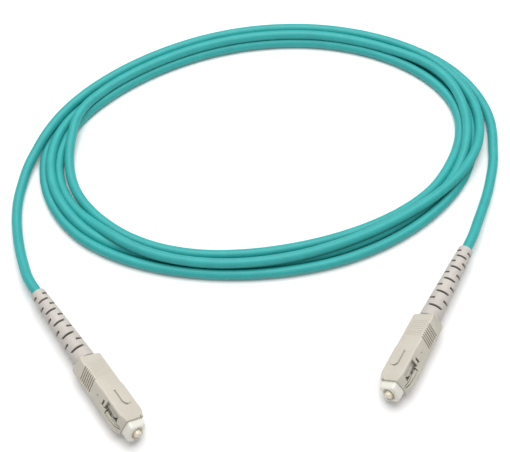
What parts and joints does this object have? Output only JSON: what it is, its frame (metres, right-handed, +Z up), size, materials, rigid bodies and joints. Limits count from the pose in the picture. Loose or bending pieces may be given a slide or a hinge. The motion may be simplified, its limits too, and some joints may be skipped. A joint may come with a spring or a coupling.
{
  "type": "fiber optic patch cord",
  "caption": "Coiled aqua simplex multimode patch cord with a push-pull square plug, floating ferrule and slotted strain relief boot at each end.",
  "frame": {"origin": "on the resting surface, at the centre of the box around the two connectors, without the cord", "axes": "+Z up from the surface, +X from connector a towards connector b, +Y from the connectors towards the coil"},
  "size_m": [0.1743, 0.1745, 0.0105],
  "materials": {
    "aqua_jacket": "satin extruded low-smoke jacket, aqua",
    "putty_plastic": "moulded putty-beige plastic, fine matte grain",
    "white_plastic": "moulded white plastic, soft sheen",
    "zirconia": "ground and polished cream zirconia",
    "boot_elastomer": "matte off-white elastomer",
    "nickel": "satin nickel-plated brass",
    "spring_steel": "drawn spring steel wire",
    "ptfe_tube": "milky translucent tube",
    "buffer_coat": "aqua tight buffer",
    "aramid": "straight golden-yellow yarn",
    "silica": "clear drawn glass"
  },
  "bodies": {
    "cord": {"cable_lead_a": "aqua_jacket", "cable_coil": "aqua_jacket", "cable_lead_b": "aqua_jacket", "plug_frame_a": "white_plastic", "spring_a": "spring_steel", "crimp_body_a": "nickel", "aramid_yarn_a": "aramid", "crimp_ring_a": "nickel", "jacket_end_a": "aqua_jacket", "boot_a": "boot_elastomer", "plug_frame_b": "white_plastic", "spring_b": "spring_steel", "crimp_body_b": "nickel", "aramid_yarn_b": "aramid", "crimp_ring_b": "nickel", "jacket_end_b": "aqua_jacket", "boot_b": "boot_elastomer"},
    "grip_a": {"grip_housing_a": "putty_plastic"},
    "ferrule_core_a": {"ferrule_a": "zirconia", "ferrule_flange_a": "nickel", "guide_tube_a": "ptfe_tube", "buffer_a": "buffer_coat", "fiber_a": "silica"},
    "grip_b": {"grip_housing_b": "putty_plastic"},
    "ferrule_core_b": {"ferrule_b": "zirconia", "ferrule_flange_b": "nickel", "guide_tube_b": "ptfe_tube", "buffer_b": "buffer_coat", "fiber_b": "silica"}
  },
  "joints": [
    {"name": "grip_a_slide", "type": "slide", "parent": "cord", "child": "grip_a", "axis": [0.5892, -0.808, 0], "range_m": [0, 0.002]},
    {"name": "ferrule_a_float", "type": "slide", "parent": "cord", "child": "ferrule_core_a", "axis": [-0.5892, 0.808, 0], "range_m": [0, 0.001], "stiffness_N_per_m": 1600, "springref_m": -0.005, "deforming": ["spring_a"]},
    {"name": "grip_b_slide", "type": "slide", "parent": "cord", "child": "grip_b", "axis": [-0.4879, -0.8729, 0], "range_m": [0, 0.002]},
    {"name": "ferrule_b_float", "type": "slide", "parent": "cord", "child": "ferrule_core_b", "axis": [0.4879, 0.8729, 0], "range_m": [0, 0.001], "stiffness_N_per_m": 1600, "springref_m": -0.005, "deforming": ["spring_b"]}
  ]
}
